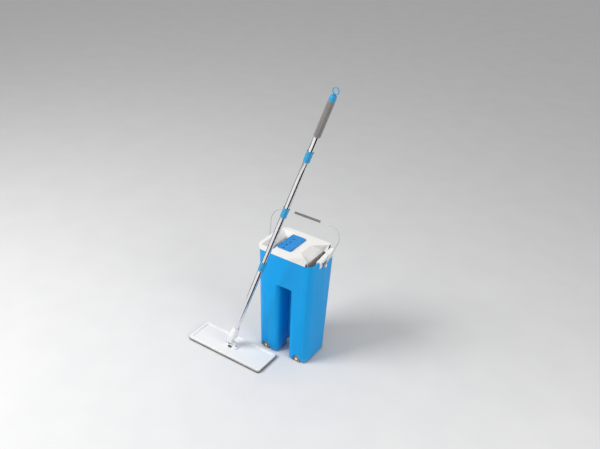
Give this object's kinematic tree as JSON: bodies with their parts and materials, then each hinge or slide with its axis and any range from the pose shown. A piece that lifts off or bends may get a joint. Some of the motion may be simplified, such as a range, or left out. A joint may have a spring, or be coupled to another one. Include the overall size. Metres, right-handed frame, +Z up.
{
  "type": "flat mop and two-tank wringer bucket",
  "caption": "Tall two-tank bucket on small wheels with a slotted wringer insert and swinging handle, beside a flat swivel-head mop on a jointed steel pole.",
  "frame": {"origin": "on the floor under the middle of the mop head", "axes": "+Z up, +X towards the squeezing side, -Y towards the front where the mop stands"},
  "size_m": [0.5394, 0.2872, 1.0891],
  "materials": {
    "body_blue": "satin moulded blue",
    "strip_blue": "fine moulded texture",
    "coupling_blue": "satin",
    "insert_ivory": "satin moulded warm white",
    "white_plastic": "satin",
    "grey_plastic": "matt",
    "dark_plastic": "matt",
    "grip_grey": "soft matt",
    "rubber": "matt",
    "polished_steel": "polished",
    "microfibre": "looped pile",
    "hook_tape": "hooked"
  },
  "bodies": {
    "bucket": {"bucket_body": "body_blue", "squeeze_jaw": "insert_ivory", "jaw_screw": "polished_steel", "jaw_scraper": "rubber", "bail_pin_left": "white_plastic", "bail_pin_right": "white_plastic", "axle_front_left": "white_plastic", "axle_front_right": "white_plastic", "axle_rear_left": "white_plastic", "axle_rear_right": "white_plastic"},
    "insert": {"wringer_lid": "insert_ivory", "centre_strip": "strip_blue", "scrub_board": "strip_blue", "lid_scraper": "rubber"},
    "handle": {"bail_handle": "white_plastic", "bail_grip": "grey_plastic"},
    "front_left_wheel": {"wheel_front_left": "grey_plastic"},
    "front_right_wheel": {"wheel_front_right": "grey_plastic"},
    "rear_left_wheel": {"wheel_rear_left": "grey_plastic"},
    "rear_right_wheel": {"wheel_rear_right": "grey_plastic"},
    "drain": {"drain_plug": "white_plastic", "drain_seal": "rubber"},
    "pole": {"joint_socket": "white_plastic", "roll_pin": "polished_steel", "tube_1": "polished_steel", "tube_2": "polished_steel", "tube_3": "polished_steel", "tube_4": "polished_steel", "coupling_1": "coupling_blue", "coupling_2": "coupling_blue", "coupling_3": "coupling_blue", "grip_sleeve": "grip_grey", "end_cap": "coupling_blue"},
    "loop": {"hanger_loop": "white_plastic"},
    "cross": {"joint_cross": "white_plastic"},
    "head": {"mop_plate": "white_plastic", "mop_pad": "microfibre", "hook_strip_front": "hook_tape", "hook_strip_rear": "hook_tape", "joint_base": "white_plastic", "base_screw_left": "polished_steel", "base_screw_right": "polished_steel", "pitch_pin": "polished_steel"},
    "button": {"lock_button": "dark_plastic"}
  },
  "joints": [
    {"name": "insert_lift", "type": "slide", "parent": "bucket", "child": "insert", "axis": [0, 0, 1], "range_m": [0, 0.07]},
    {"name": "handle_swing", "type": "hinge", "parent": "bucket", "child": "handle", "pos_m": [0.165, 0.146, 0.4], "axis": [1, 0, 0], "range_deg": [-105, 160]},
    {"name": "front_left_roll", "type": "hinge", "parent": "bucket", "child": "front_left_wheel", "pos_m": [0.0985, 0.08345, 0.0135], "axis": [0, 1, 0], "continuous": true},
    {"name": "front_right_roll", "type": "hinge", "parent": "bucket", "child": "front_right_wheel", "pos_m": [0.2315, 0.08345, 0.0135], "axis": [0, 1, 0], "continuous": true},
    {"name": "rear_left_roll", "type": "hinge", "parent": "bucket", "child": "rear_left_wheel", "pos_m": [0.0985, 0.20855, 0.0135], "axis": [0, 1, 0], "continuous": true},
    {"name": "rear_right_roll", "type": "hinge", "parent": "bucket", "child": "rear_right_wheel", "pos_m": [0.2315, 0.20855, 0.0135], "axis": [0, 1, 0], "continuous": true},
    {"name": "drain_pull", "type": "slide", "parent": "bucket", "child": "drain", "axis": [1, 0, 0], "range_m": [0, 0.02]},
    {"name": "mop_lift", "type": "slide", "parent": "bucket", "child": "pole", "axis": [0, 0, 1], "range_m": [-0.003, 0.08]},
    {"name": "loop_turn", "type": "hinge", "parent": "pole", "child": "loop", "pos_m": [0.36211, -0.01814, 1.06742], "axis": [0.3338, -0.0165, 0.9425], "continuous": true},
    {"name": "head_roll", "type": "hinge", "parent": "pole", "child": "cross", "pos_m": [0, -0.0003, 0.045], "axis": [0, 0.9998, 0.0175], "range_deg": [-65, 104]},
    {"name": "head_pitch", "type": "hinge", "parent": "cross", "child": "head", "pos_m": [0, 0, 0.028], "axis": [1, 0, 0], "range_deg": [-63, 65]},
    {"name": "lock_slide", "type": "slide", "parent": "head", "child": "button", "axis": [0, 1, 0], "range_m": [0, 0.003], "stiffness_N_per_m": 150}
  ]
}
